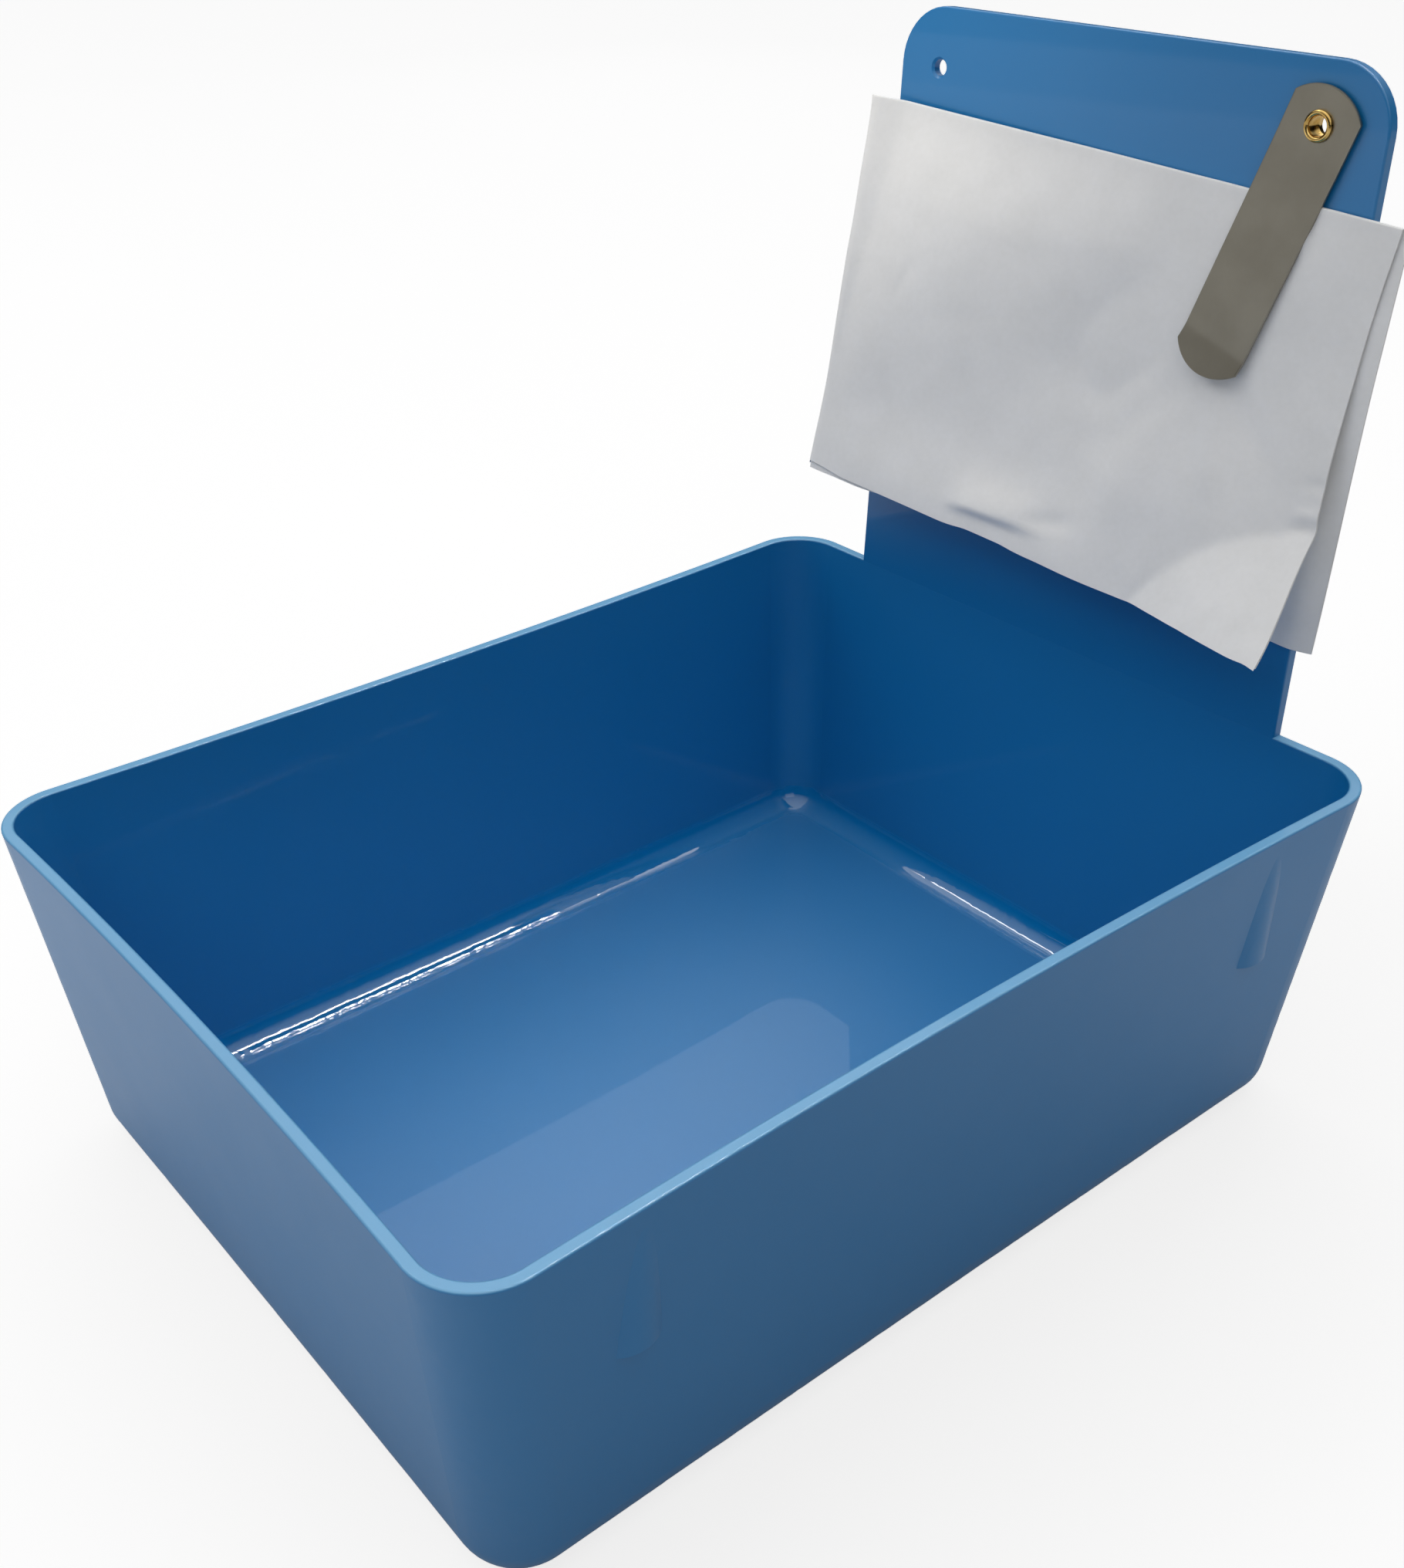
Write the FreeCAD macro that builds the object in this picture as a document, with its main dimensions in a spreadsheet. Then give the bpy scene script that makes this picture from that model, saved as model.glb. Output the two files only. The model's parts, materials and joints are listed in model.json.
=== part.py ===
import FreeCAD, Part
import math
import os
import re
import Sketcher

# A laboratory work pan: an open, drafted tub with an upright tab at its rear end, a spring clip
# that swivels on a brass eyelet in the tab, and a folded order slip held under the clip.
# Frame: +Z up, +X to the clip's side, +Y to the rear, origin at the centre of the underside.

doc = FreeCAD.newDocument("WorkPan")
Vector = FreeCAD.Vector
Rotation = FreeCAD.Rotation
Placement = FreeCAD.Placement
X_AXIS = Vector(1, 0, 0)
Z_AXIS = Vector(0, 0, 1)

# Sketcher's own numbers: the origin and the two axes as edges, and the points of an edge.
ORIGIN = -1
HORIZONTAL_AXIS = -1
VERTICAL_AXIS = -2
START = 1
END = 2
CENTRE = 3

SIZES = {
    # tub
    "pan_width": 140.0,
    "pan_length": 178.0,
    "pan_height": 62.0,
    "wall": 2.0,
    "floor_thickness": 2.2,
    "draft_inset": 6.9,
    "rim_corner_radius": 10.5,
    "base_corner_radius": 9.5,
    "side_bow": 1.6,
    "front_bow": 1.1,
    "outer_floor_radius": 7.5,
    "inner_floor_radius": 5.5,
    "rim_rounding": 0.35,
    # stacking lugs on the long walls
    "lug_ledge_height": 37.8,
    "lug_top_height": 61.0,
    "lug_spacing": 124.0,
    "lug_radius": 6.0,
    "lug_bulge": 1.3,
    "lug_fade_height": 58.7,
    # tab
    "tab_width": 99.0,
    "tab_rise": 107.0,
    "tab_root": 3.0,
    "tab_thickness": 2.1,
    "tab_lean": 3.6,
    "tab_corner_radius": 10.0,
    "peg_hole_x": -40.3,
    "peg_hole_rise": 96.7,
    "peg_hole_radius": 1.45,
    "peg_hole_break": 0.4,
    # eyelet
    "eyelet_x": 38.3,
    "eyelet_rise": 97.4,
    "eyelet_bore_radius": 1.55,
    "eyelet_barrel_radius": 1.95,
    "eyelet_rim_radius": 2.4,
    "eyelet_rim_height": 0.6,
    "eyelet_clip_gap": 0.05,
    # spring clip
    "clip_width": 12.5,
    "clip_thickness": 0.5,
    "clip_tab_gap": 0.4,
    "clip_hole_radius": 2.02,
    "clip_turn": 17.9,
    "clip_top_reach": 5.9,
    "clip_tip_reach": 42.2,
    "clip_end_radius": 8.2,
    "clip_flex_line": 4.0,
    "clip_flex_gap": 0.05,
    "clip_slip_lift": 1.1,
    "clip_bend_line": 37.2,
    "clip_lip_lift": 1.5,
    # order slip
    "slip_width": 108.5,
    "slip_height": 70.5,
    "slip_turn": 2.9,
    "slip_centre_x": 0.8,
    "slip_top_rise": 87.8,
    "slip_tab_gap": 0.1,
    "slip_leaf": 0.2,
    "slip_leaf_gap": 0.05,
    "slip_fold": 1.0,
    "slip_flare_start": 46.0,
    "slip_flare_foot": 69.0,
    "slip_left_flare": 5.0,
    "slip_right_flare": 12.0,
}

sizes = doc.addObject("Spreadsheet::Sheet", "Sizes")
for row, (alias, number) in enumerate(SIZES.items(), start=1):
    sizes.set(f"A{row}", alias)
    sizes.set(f"B{row}", str(number))
    sizes.setAlias(f"B{row}", alias)
doc.recompute()


def value(expression):
    """The number that an expression in terms of the sheet comes to."""
    return float(sizes.evalExpression(expression))


def new_body(label):
    body = doc.addObject("PartDesign::Body", label)
    body.Label = label
    return body


def origin_plane(body, role):
    for feature in body.Origin.OriginFeatures:
        if feature.Role == role:
            return feature
    raise ValueError(role)


def new_sketch(body, name, role, height="0"):
    """A sketch on one of the body's origin planes, moved along the plane's normal by height."""
    sketch = body.newObject("Sketcher::SketchObject", name)
    sketch.AttachmentSupport = [(origin_plane(body, role), "")]
    sketch.MapMode = "FlatFace"
    sketch.setExpression("AttachmentOffset.Base.z", sheet_names(height))
    return sketch


def sheet_names(expression):
    """The expression with the sheet's name in front of each alias."""
    words = re.split(r"([a-z][a-z_]+)", expression)
    return "".join("Sizes." + word if word in SIZES else word for word in words)


def bind(sketch, constraint, expression):
    """Add a dimension to a sketch and bind it to an expression."""
    index = sketch.addConstraint(constraint)
    sketch.setExpression(f"Constraints[{index}]", sheet_names(expression))


def bind_point(sketch, index, which, x, y):
    """Hold a point of an edge at two expressions, measured from the sketch's origin."""
    bind(sketch, Sketcher.Constraint("DistanceX", ORIGIN, START, index, which, value(x)), x)
    bind(sketch, Sketcher.Constraint("DistanceY", ORIGIN, START, index, which, value(y)), y)


def circle(sketch, centre_x, centre_y, radius):
    """A circle whose centre and radius are bound to expressions."""
    shape = Part.Circle(Vector(value(centre_x), value(centre_y)), Z_AXIS, value(radius))
    index = sketch.addGeometry(shape, False)
    bind_point(sketch, index, CENTRE, centre_x, centre_y)
    bind(sketch, Sketcher.Constraint("Radius", index, value(radius)), radius)


def closed_outline(sketch, points, arcs=None):
    """A closed outline through points, each a pair of expressions.

    arcs maps the number of a stretch to a pair of expressions for a point half way along it, and
    to the height of that arc's centre. Every corner and every such height is bound to the sheet.
    """
    arcs = arcs or {}
    count = len(points)
    ends = [Vector(value(x), value(y)) for x, y in points]
    for number in range(count):
        start = ends[number]
        end = ends[(number + 1) % count]
        if number in arcs:
            (middle_x, middle_y), height = arcs[number]
            middle = Vector(value(middle_x), value(middle_y))
            index = sketch.addGeometry(Part.Arc(start, middle, end), False)
            distance = ("DistanceY", ORIGIN, START, index, CENTRE, value(height))
            bind(sketch, Sketcher.Constraint(*distance), height)
        else:
            index = sketch.addGeometry(Part.LineSegment(start, end), False)
    for number in range(count):
        following = (number + 1) % count
        end_side = nearest_end(sketch, number, ends[following])
        start_side = nearest_end(sketch, following, ends[following])
        joined = ("Coincident", number, end_side, following, start_side)
        sketch.addConstraint(Sketcher.Constraint(*joined))
        bind_point(sketch, following, start_side, *points[following])


def nearest_end(sketch, index, point):
    """START or END, whichever end of an edge lies at the point: arcs always run anticlockwise."""
    shape = sketch.Geometry[index]
    if shape.StartPoint.distanceToPoint(point) < shape.EndPoint.distanceToPoint(point):
        return START
    return END


def feature(body, kind, name, **settings):
    """A PartDesign feature. Text settings are expressions; the others are set as they are."""
    made = body.newObject(f"PartDesign::{kind}", name)
    for key, setting in settings.items():
        if isinstance(setting, str) and key != "Type":
            made.setExpression(key, sheet_names(setting))
        else:
            setattr(made, key, setting)
    return made


def edges_where(body, test):
    """Names of the edges of a body's shape that pass a test."""
    doc.recompute()
    edges = enumerate(body.Shape.Edges, start=1)
    return [f"Edge{number}" for number, edge in edges if test(edge)]


def tab_placement(x, rise, front, turn=0.0):
    """A frame on the tab's front face: local X along its width, Y up the tab, Z out of its front."""
    lean = Rotation(X_AXIS, 90 - value("tab_lean"))
    foot = Vector(0, value("pan_length / 2 - wall"), value("pan_height"))
    return Placement(foot + lean.multVec(Vector(x, rise, front)), lean * Rotation(Z_AXIS, turn))


# ---------------------------------------------------------------- work pan


def pan_outline(sketch, half_width, half_length, radius, side_bow="", front_bow=""):
    """A rounded rectangle. Its long sides and its front may bow inward; its rear is straight."""
    turns = [Rotation(Z_AXIS, 90 * side) for side in range(4)]
    reach = [half_length, half_width, half_length, half_width]
    half_chord = [f"({half_width} - {radius})", f"({half_length} - {radius})"] * 2
    bows = [front_bow, side_bow, "", side_bow]
    for side in range(4):
        far = value(reach[side])
        chord = value(half_chord[side])
        start = turns[side].multVec(Vector(-chord, -far))
        end = turns[side].multVec(Vector(chord, -far))
        if bows[side]:
            middle = turns[side].multVec(Vector(0, value(bows[side]) - far))
            sketch.addGeometry(Part.Arc(start, middle, end), False)
        else:
            sketch.addGeometry(Part.LineSegment(start, end), False)
        centre = turns[side].multVec(Vector(chord, value(radius) - far))
        corner = Part.Circle(centre, Z_AXIS, value(radius))
        start_angle = math.radians(90 * side - 90)
        sketch.addGeometry(Part.ArcOfCircle(corner, start_angle, start_angle + math.pi / 2), False)
    for side in range(4):
        straight = 2 * side
        corner = straight + 1
        following = (straight + 2) % 8
        leaving = START if bows[side] else END
        arriving = END if bows[(side + 1) % 4] else START
        sketch.addConstraint(Sketcher.Constraint("Tangent", straight, leaving, corner, START))
        sketch.addConstraint(Sketcher.Constraint("Tangent", corner, END, following, arriving))
        bind(sketch, Sketcher.Constraint("Radius", corner, value(radius)), radius)
        along, axis, direction = [
            ("DistanceY", VERTICAL_AXIS, "Horizontal"),
            ("DistanceX", HORIZONTAL_AXIS, "Vertical"),
        ][side % 2]
        sign = "-" if side in (0, 3) else ""
        if bows[side]:
            bow = bows[side]
            bow_radius = f"({half_chord[side]} ^ 2 + {bow} ^ 2) / (2 * {bow})"
            centre_reach = f"{sign}({reach[side]} - {bow} + {bow_radius})"
            bind(sketch, Sketcher.Constraint("Radius", straight, value(bow_radius)), bow_radius)
            sketch.addConstraint(Sketcher.Constraint("PointOnObject", straight, CENTRE, axis))
            distance = (along, ORIGIN, START, straight, CENTRE, value(centre_reach))
            bind(sketch, Sketcher.Constraint(*distance), centre_reach)
        else:
            side_reach = f"{sign}({reach[side]})"
            sketch.addConstraint(Sketcher.Constraint(direction, straight))
            distance = (along, ORIGIN, START, straight, START, value(side_reach))
            bind(sketch, Sketcher.Constraint(*distance), side_reach)


def add_tub_shell(body):
    """The drafted outside, with its rounded bottom edge."""
    base = new_sketch(body, "OuterBase", "XY_Plane")
    half_width = "(pan_width / 2 - draft_inset)"
    half_length = "(pan_length / 2 - draft_inset)"
    pan_outline(base, half_width, half_length, "base_corner_radius")
    rim = new_sketch(body, "OuterRim", "XY_Plane", "pan_height")
    pan_outline(rim, "pan_width / 2", "pan_length / 2", "rim_corner_radius", "side_bow", "front_bow")
    doc.recompute()
    feature(body, "AdditiveLoft", "TubOutside", Profile=rim, Sections=[base], Ruled=True)
    bottom = edges_where(body, lambda edge: edge.BoundBox.ZMax < 0.01)
    feature(body, "Fillet", "BottomRounding", Base=(body.Tip, bottom), Radius="outer_floor_radius")
    doc.recompute()


def wall_reach(height):
    """How far a long wall's outside is from the centre plane at the lugs, at some height."""
    lug_share = "(1 - (lug_spacing / (pan_length - 2 * rim_corner_radius)) ^ 2)"
    return (
        f"(pan_width / 2 - draft_inset * (1 - {height} / pan_height)"
        f" - side_bow * {lug_share} * {height} / pan_height)"
    )


def add_stacking_lugs(body):
    """Four lugs: round-faced wedges that grow out of the long walls down to a flat ledge."""
    ledge = f"({wall_reach('lug_ledge_height')} + lug_bulge)"
    climb = "(lug_top_height - lug_ledge_height) / (lug_fade_height - lug_ledge_height)"
    top = f"({ledge} + ({wall_reach('lug_fade_height')} - {ledge}) * {climb})"
    for side_name, side in (("Right", ""), ("Left", "-")):
        for end_name, end in (("Front", "-"), ("Rear", "")):
            name = f"Lug{side_name}{end_name}"
            low = new_sketch(body, name + "Ledge", "XY_Plane", "lug_ledge_height")
            circle(low, f"{side}({ledge} - lug_radius)", f"{end}(lug_spacing / 2)", "lug_radius")
            high = new_sketch(body, name + "Top", "XY_Plane", "lug_top_height")
            circle(high, f"{side}({top} - lug_radius)", f"{end}(lug_spacing / 2)", "lug_radius")
            doc.recompute()
            feature(body, "AdditiveLoft", name, Profile=high, Sections=[low], Ruled=True)
    doc.recompute()


def add_tub_hollow(body):
    """The hollow, which leaves the walls and the floor, with its rounded floor edge."""
    inset = "(draft_inset * (1 - floor_thickness / pan_height) + wall)"
    floor = new_sketch(body, "InnerFloor", "XY_Plane", "floor_thickness")
    pan_outline(
        floor,
        f"(pan_width / 2 - {inset})",
        f"(pan_length / 2 - {inset})",
        "(base_corner_radius - wall)",
    )
    rim = new_sketch(body, "InnerRim", "XY_Plane", "pan_height")
    pan_outline(
        rim,
        "(pan_width / 2 - wall)",
        "(pan_length / 2 - wall)",
        "(rim_corner_radius - wall)",
        "side_bow",
        "front_bow",
    )
    doc.recompute()
    solid_volume = body.Shape.Volume
    feature(body, "SubtractiveLoft", "TubHollow", Profile=rim, Sections=[floor], Ruled=True)
    low, high = value("floor_thickness") - 0.01, value("floor_thickness") + 0.01
    corner = edges_where(body, lambda edge: edge.BoundBox.ZMin > low and edge.BoundBox.ZMax < high)
    assert body.Shape.Volume < solid_volume / 2
    feature(body, "Fillet", "FloorRounding", Base=(body.Tip, corner), Radius="inner_floor_radius")
    doc.recompute()


def add_tab(body):
    """The upright tab on the rear wall, with the peg hole and the eyelet's hole."""
    tab = new_sketch(body, "TabOutline", "XZ_Plane")
    tab.AttachmentOffset = Placement(Vector(), Rotation(X_AXIS, -value("tab_lean")))
    tab.setExpression("AttachmentOffset.Base.y", sheet_names("pan_height"))
    tab.setExpression("AttachmentOffset.Base.z", sheet_names("-(pan_length / 2 - wall)"))
    half = "tab_width / 2"
    corner = "tab_corner_radius"
    mid = f"{corner} * (1 - sqrt(0.5))"
    closed_outline(
        tab,
        [
            (f"-({half})", "-tab_root"),
            (half, "-tab_root"),
            (half, f"tab_rise - {corner}"),
            (f"{half} - {corner}", "tab_rise"),
            (f"{corner} - {half}", "tab_rise"),
            (f"-({half})", f"tab_rise - {corner}"),
        ],
        {
            2: ((f"{half} - {mid}", f"tab_rise - {mid}"), f"tab_rise - {corner}"),
            4: ((f"{mid} - {half}", f"tab_rise - {mid}"), f"tab_rise - {corner}"),
        },
    )
    circle(tab, "peg_hole_x", "peg_hole_rise", "peg_hole_radius")
    circle(tab, "eyelet_x", "eyelet_rise", "eyelet_barrel_radius")
    doc.recompute()
    feature(body, "Pad", "Tab", Profile=tab, Length="tab_thickness", Reversed=True)
    doc.recompute()


def round_tub_rim(body):
    """The rim's inner and outer edges, slightly rounded."""
    top = value("pan_height") - 0.01
    rim = edges_where(body, lambda edge: edge.BoundBox.ZMin > top)
    feature(body, "Fillet", "RimRounding", Base=(body.Tip, rim), Radius="rim_rounding")
    doc.recompute()


def round_tab_edges(body):
    """The tab's outline, slightly rounded front and back, and the peg hole's broken edges."""
    peg_hole = 2 * math.pi * value("peg_hole_radius")
    hole_edges = edges_where(body, lambda edge: abs(edge.Length - peg_hole) < 0.01)
    feature(body, "Chamfer", "PegHoleBreak", Base=(body.Tip, hole_edges), Size="peg_hole_break")
    largest_hole = 2 * math.pi * value("eyelet_barrel_radius") + 0.01
    rim = value("pan_height")
    outline = edges_where(body, lambda edge: edge.Length > largest_hole and edge.CenterOfMass.z > rim)
    feature(body, "Fillet", "TabRounding", Base=(body.Tip, outline), Radius="rim_rounding")
    doc.recompute()


def make_work_pan():
    """The tub and the tab are drawn as two bodies and fused, because they are one moulding."""
    tub = new_body("tub")
    add_tub_shell(tub)
    add_stacking_lugs(tub)
    add_tub_hollow(tub)
    round_tub_rim(tub)
    tab = new_body("tab")
    add_tab(tab)
    round_tab_edges(tab)
    pan = doc.addObject("Part::Fuse", "work_pan")
    pan.Base = tub
    pan.Tool = tab
    pan.Label = "work_pan"
    return pan


# ---------------------------------------------------------------- eyelet


def make_eyelet():
    """A brass eyelet: a barrel with a rolled rim in front of the clip and one behind the tab."""
    body = new_body("eyelet")
    section = new_sketch(body, "EyeletSection", "XZ_Plane")
    roll = "((eyelet_rim_radius - eyelet_bore_radius) / 2)"
    foot = f"(eyelet_rim_height - {roll})"
    front = "(clip_tab_gap + clip_thickness + eyelet_clip_gap)"
    back = "(-tab_thickness)"
    centre = f"eyelet_bore_radius + {roll}"
    closed_outline(
        section,
        [
            ("eyelet_bore_radius", f"{back} - {foot}"),
            ("eyelet_rim_radius", f"{back} - {foot}"),
            ("eyelet_rim_radius", back),
            ("eyelet_barrel_radius", back),
            ("eyelet_barrel_radius", front),
            ("eyelet_rim_radius", front),
            ("eyelet_rim_radius", f"{front} + {foot}"),
            ("eyelet_bore_radius", f"{front} + {foot}"),
        ],
        {
            0: ((centre, f"{back} - eyelet_rim_height"), f"{back} - {foot}"),
            6: ((centre, f"{front} + eyelet_rim_height"), f"{front} + {foot}"),
        },
    )
    doc.recompute()
    axis = (section, ["V_Axis"])
    feature(body, "Revolution", "EyeletTurned", Profile=section, ReferenceAxis=axis, Angle=360.0)
    body.Placement = tab_placement(value("eyelet_x"), value("eyelet_rise"), 0.0)
    return body


# ---------------------------------------------------------------- spring clip


def clip_placement():
    """The strip hangs from the eyelet, turned about it; local Y runs up the strip."""
    turn = -value("clip_turn")
    return tab_placement(value("eyelet_x"), value("eyelet_rise"), value("clip_tab_gap"), turn)


END_SHOULDER = "(clip_end_radius - sqrt(clip_end_radius ^ 2 - clip_width ^ 2 / 4))"


def make_clip_head():
    """The flat end of the strip round the eyelet, down to the line where the strip flexes."""
    body = new_body("clip_head")
    outline = new_sketch(body, "HeadOutline", "XY_Plane")
    shoulder = f"clip_top_reach - {END_SHOULDER}"
    foot = "-(clip_flex_line - clip_flex_gap / 2)"
    closed_outline(
        outline,
        [
            ("-clip_width / 2", foot),
            ("clip_width / 2", foot),
            ("clip_width / 2", shoulder),
            ("-clip_width / 2", shoulder),
        ],
        {2: (("0", "clip_top_reach"), "clip_top_reach - clip_end_radius")},
    )
    circle(outline, "0", "0", "clip_hole_radius")
    doc.recompute()
    feature(body, "Pad", "Head", Profile=outline, Length="clip_thickness")
    body.Placement = clip_placement()
    return body


def make_clip_blade():
    """The rest of the strip: it slopes gently outward over the slip and ends in a bent-out lip."""
    body = new_body("clip_blade")
    profile = new_sketch(body, "BladeProfile", "YZ_Plane")
    path = [
        ("-(clip_flex_line + clip_flex_gap / 2)", "0"),
        ("-clip_bend_line", "clip_slip_lift"),
        ("-clip_tip_reach", "clip_slip_lift + clip_lip_lift"),
    ]
    front = [(along, f"{lift} + clip_thickness") for along, lift in reversed(path)]
    closed_outline(profile, path + front)
    doc.recompute()
    feature(body, "Pad", "Blade", Profile=profile, Length="clip_width", Midplane=True)
    trim = new_sketch(body, "TipTrim", "XY_Plane")
    shoulder = f"({END_SHOULDER} - clip_tip_reach)"
    clear_x = "clip_width"
    clear_y = "-2 * clip_tip_reach"
    closed_outline(
        trim,
        [
            ("-clip_width / 2", shoulder),
            ("clip_width / 2", shoulder),
            (clear_x, shoulder),
            (clear_x, clear_y),
            (f"-{clear_x}", clear_y),
            (f"-{clear_x}", shoulder),
        ],
        {0: (("0", "-clip_tip_reach"), "clip_end_radius - clip_tip_reach")},
    )
    doc.recompute()
    whole_volume = body.Shape.Volume
    feature(body, "Pocket", "TipArch", Profile=trim, Type="ThroughAll", Midplane=True)
    doc.recompute()
    assert body.Shape.Volume < whole_volume
    body.Placement = clip_placement()
    return body


# ---------------------------------------------------------------- order slip


def make_order_slip():
    """A sheet folded to four plies: a back leaf, and a front leaf that flares out at its foot."""
    body = new_body("order_slip")
    front = "(slip_leaf + slip_leaf_gap)"
    sections = []
    for name, offset, flare in (
        ("SlipLeftEdge", "-slip_width / 2", "slip_left_flare"),
        ("SlipRightEdge", "slip_width / 2", "slip_right_flare"),
    ):
        section = new_sketch(body, name, "YZ_Plane", offset)
        closed_outline(
            section,
            [
                ("0", "0"),
                ("-slip_height", "0"),
                ("-slip_height", "slip_leaf"),
                ("-slip_fold", "slip_leaf"),
                ("-slip_fold", front),
                ("-slip_flare_start", front),
                ("-slip_flare_foot", f"{front} + {flare}"),
                ("-slip_flare_foot", f"{front} + {flare} + slip_leaf"),
                ("-slip_flare_start", f"{front} + slip_leaf"),
                ("0", f"{front} + slip_leaf"),
            ],
        )
        sections.append(section)
    doc.recompute()
    feature(body, "AdditiveLoft", "Slip", Profile=sections[0], Sections=[sections[1]], Ruled=True)
    turn = -value("slip_turn")
    body.Placement = tab_placement(
        value("slip_centre_x"), value("slip_top_rise"), value("slip_tab_gap"), turn
    )
    return body


# ---------------------------------------------------------------- build and write


def check_and_write(bodies):
    doc.recompute()
    for thing in doc.Objects:
        assert "Invalid" not in thing.State and "Error" not in thing.State, thing.Label
    os.makedirs("parts", exist_ok=True)
    for body in bodies:
        shape = body.Shape
        assert not shape.isNull() and shape.isValid(), body.Label
        shape.exportStep(f"parts/{body.Label}.step")
        box = shape.BoundBox
        print(f"{body.Label}: {len(shape.Solids)} solid, {len(shape.Faces)} faces")
        print(f"  from {box.XMin:.2f}, {box.YMin:.2f}, {box.ZMin:.2f}")
        print(f"  to {box.XMax:.2f}, {box.YMax:.2f}, {box.ZMax:.2f}")


makers = [make_work_pan, make_eyelet, make_clip_head, make_clip_blade, make_order_slip]
check_and_write([make() for make in makers])
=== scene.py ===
import json
import math

import bmesh
import bpy
from mathutils import Matrix, Vector, noise


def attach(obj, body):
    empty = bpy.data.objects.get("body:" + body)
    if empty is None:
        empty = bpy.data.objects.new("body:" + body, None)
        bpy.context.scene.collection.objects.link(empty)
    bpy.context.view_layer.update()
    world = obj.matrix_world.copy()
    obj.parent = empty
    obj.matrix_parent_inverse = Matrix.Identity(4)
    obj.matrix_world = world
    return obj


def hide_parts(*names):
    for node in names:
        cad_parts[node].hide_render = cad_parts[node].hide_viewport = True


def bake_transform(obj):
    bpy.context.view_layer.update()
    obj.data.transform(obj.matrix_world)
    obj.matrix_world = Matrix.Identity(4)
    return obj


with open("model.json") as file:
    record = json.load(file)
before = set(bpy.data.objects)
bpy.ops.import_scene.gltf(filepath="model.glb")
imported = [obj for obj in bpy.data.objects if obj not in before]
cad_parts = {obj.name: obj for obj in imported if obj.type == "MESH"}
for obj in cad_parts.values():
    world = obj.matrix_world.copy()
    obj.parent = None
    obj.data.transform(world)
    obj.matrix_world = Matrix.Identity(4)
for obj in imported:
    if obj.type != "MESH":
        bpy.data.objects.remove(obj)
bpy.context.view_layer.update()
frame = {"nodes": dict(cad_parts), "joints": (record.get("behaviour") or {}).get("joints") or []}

# A laboratory work pan with a spring clip and a folded order slip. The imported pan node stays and
# gets its material here; the eyelet, the clip and the slip are finer pieces that stand for theirs.
# The pieces' lengths and the camera's place are millimetres, which MM turns into metres. Materials,
# lights and the studio are in metres.

MM = 0.001

# ---------------------------------------------------------------- frame of the tab, from the record

joints = {joint["name"]: joint for joint in frame["joints"]}
TAB_FRONT = Vector(joints["clip_swivel"]["axis"]).normalized()
TAB_ACROSS = Vector((1, 0, 0))
TAB_UP = TAB_FRONT.cross(TAB_ACROSS)
EYELET_AT_CLIP = Vector(joints["clip_swivel"]["pos_m"])

# ---------------------------------------------------------------- sizes that part.py gives too

CLIP_TAB_GAP = 0.4
CLIP_TURN = math.radians(-17.9)
CLIP_WIDTH = 12.5
CLIP_THICKNESS = 0.5
CLIP_HOLE_RADIUS = 2.02
CLIP_TOP_REACH = 5.9
CLIP_TIP_REACH = 42.2
CLIP_END_RADIUS = 8.2
CLIP_FLEX_LINE = 4.0
CLIP_SLIP_LIFT = 1.1
CLIP_BEND_LINE = 37.2
CLIP_LIP_LIFT = 1.5

TAB_THICKNESS = 2.1
EYELET_X = 38.3
EYELET_RISE = 97.4
EYELET_BORE = 1.55
EYELET_BARREL = 1.95
EYELET_RIM = 2.4
EYELET_RIM_HEIGHT = 0.6
EYELET_CLIP_GAP = 0.05

SLIP_WIDTH = 108.5
SLIP_HEIGHT = 70.5
SLIP_TURN = math.radians(-2.9)
SLIP_CENTRE_X = 0.8
SLIP_TOP_RISE = 87.8

# ---------------------------------------------------------------- sizes of the finer pieces

# How far the rims curl in under their edges, and how far the bore narrows.
EYELET_RIM_LIP = 0.12
EYELET_WAIST = 0.13
EYELET_TURNS = 72

# Faces whose middle is this near to the clip's hole are left out. Then its broken edges' width.
CLIP_HOLE_MARGIN = 0.2
CLIP_EDGE_BREAK = 0.07

PAPER_THICKNESS = 0.1
# The least room between the middles of the slip's two leaves, and between the tab and the front one.
LEAF_GAP = 0.34
LEAST_OFF = 0.55
# How far the left fold reaches, and the rounding of the top crease.
FOLD_WIDTH = 1.5
CREASE_HEIGHT = 0.18

# The curved line along which the slip's lower right corner is bent out: an arc's centre, its
# radius, and the slope beyond it.
CORNER_BEND_A = 59.9
CORNER_BEND_D = 85.8
CORNER_BEND_RADIUS = 37.9
CORNER_SLOPE = 0.42
# The flat facet at the left: its width at the top, how fast it narrows, and its slope.
FACET_WIDTH = 7.5
FACET_TAPER = 0.13
FACET_SLOPE = 0.25
# Where the front leaf's right edge is kinked.
KINK_DOWN = 48.0
# The end of the clip on the slip, which holds the paper flat.
PRESS_A = 28.0
PRESS_D = 30.0

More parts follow.
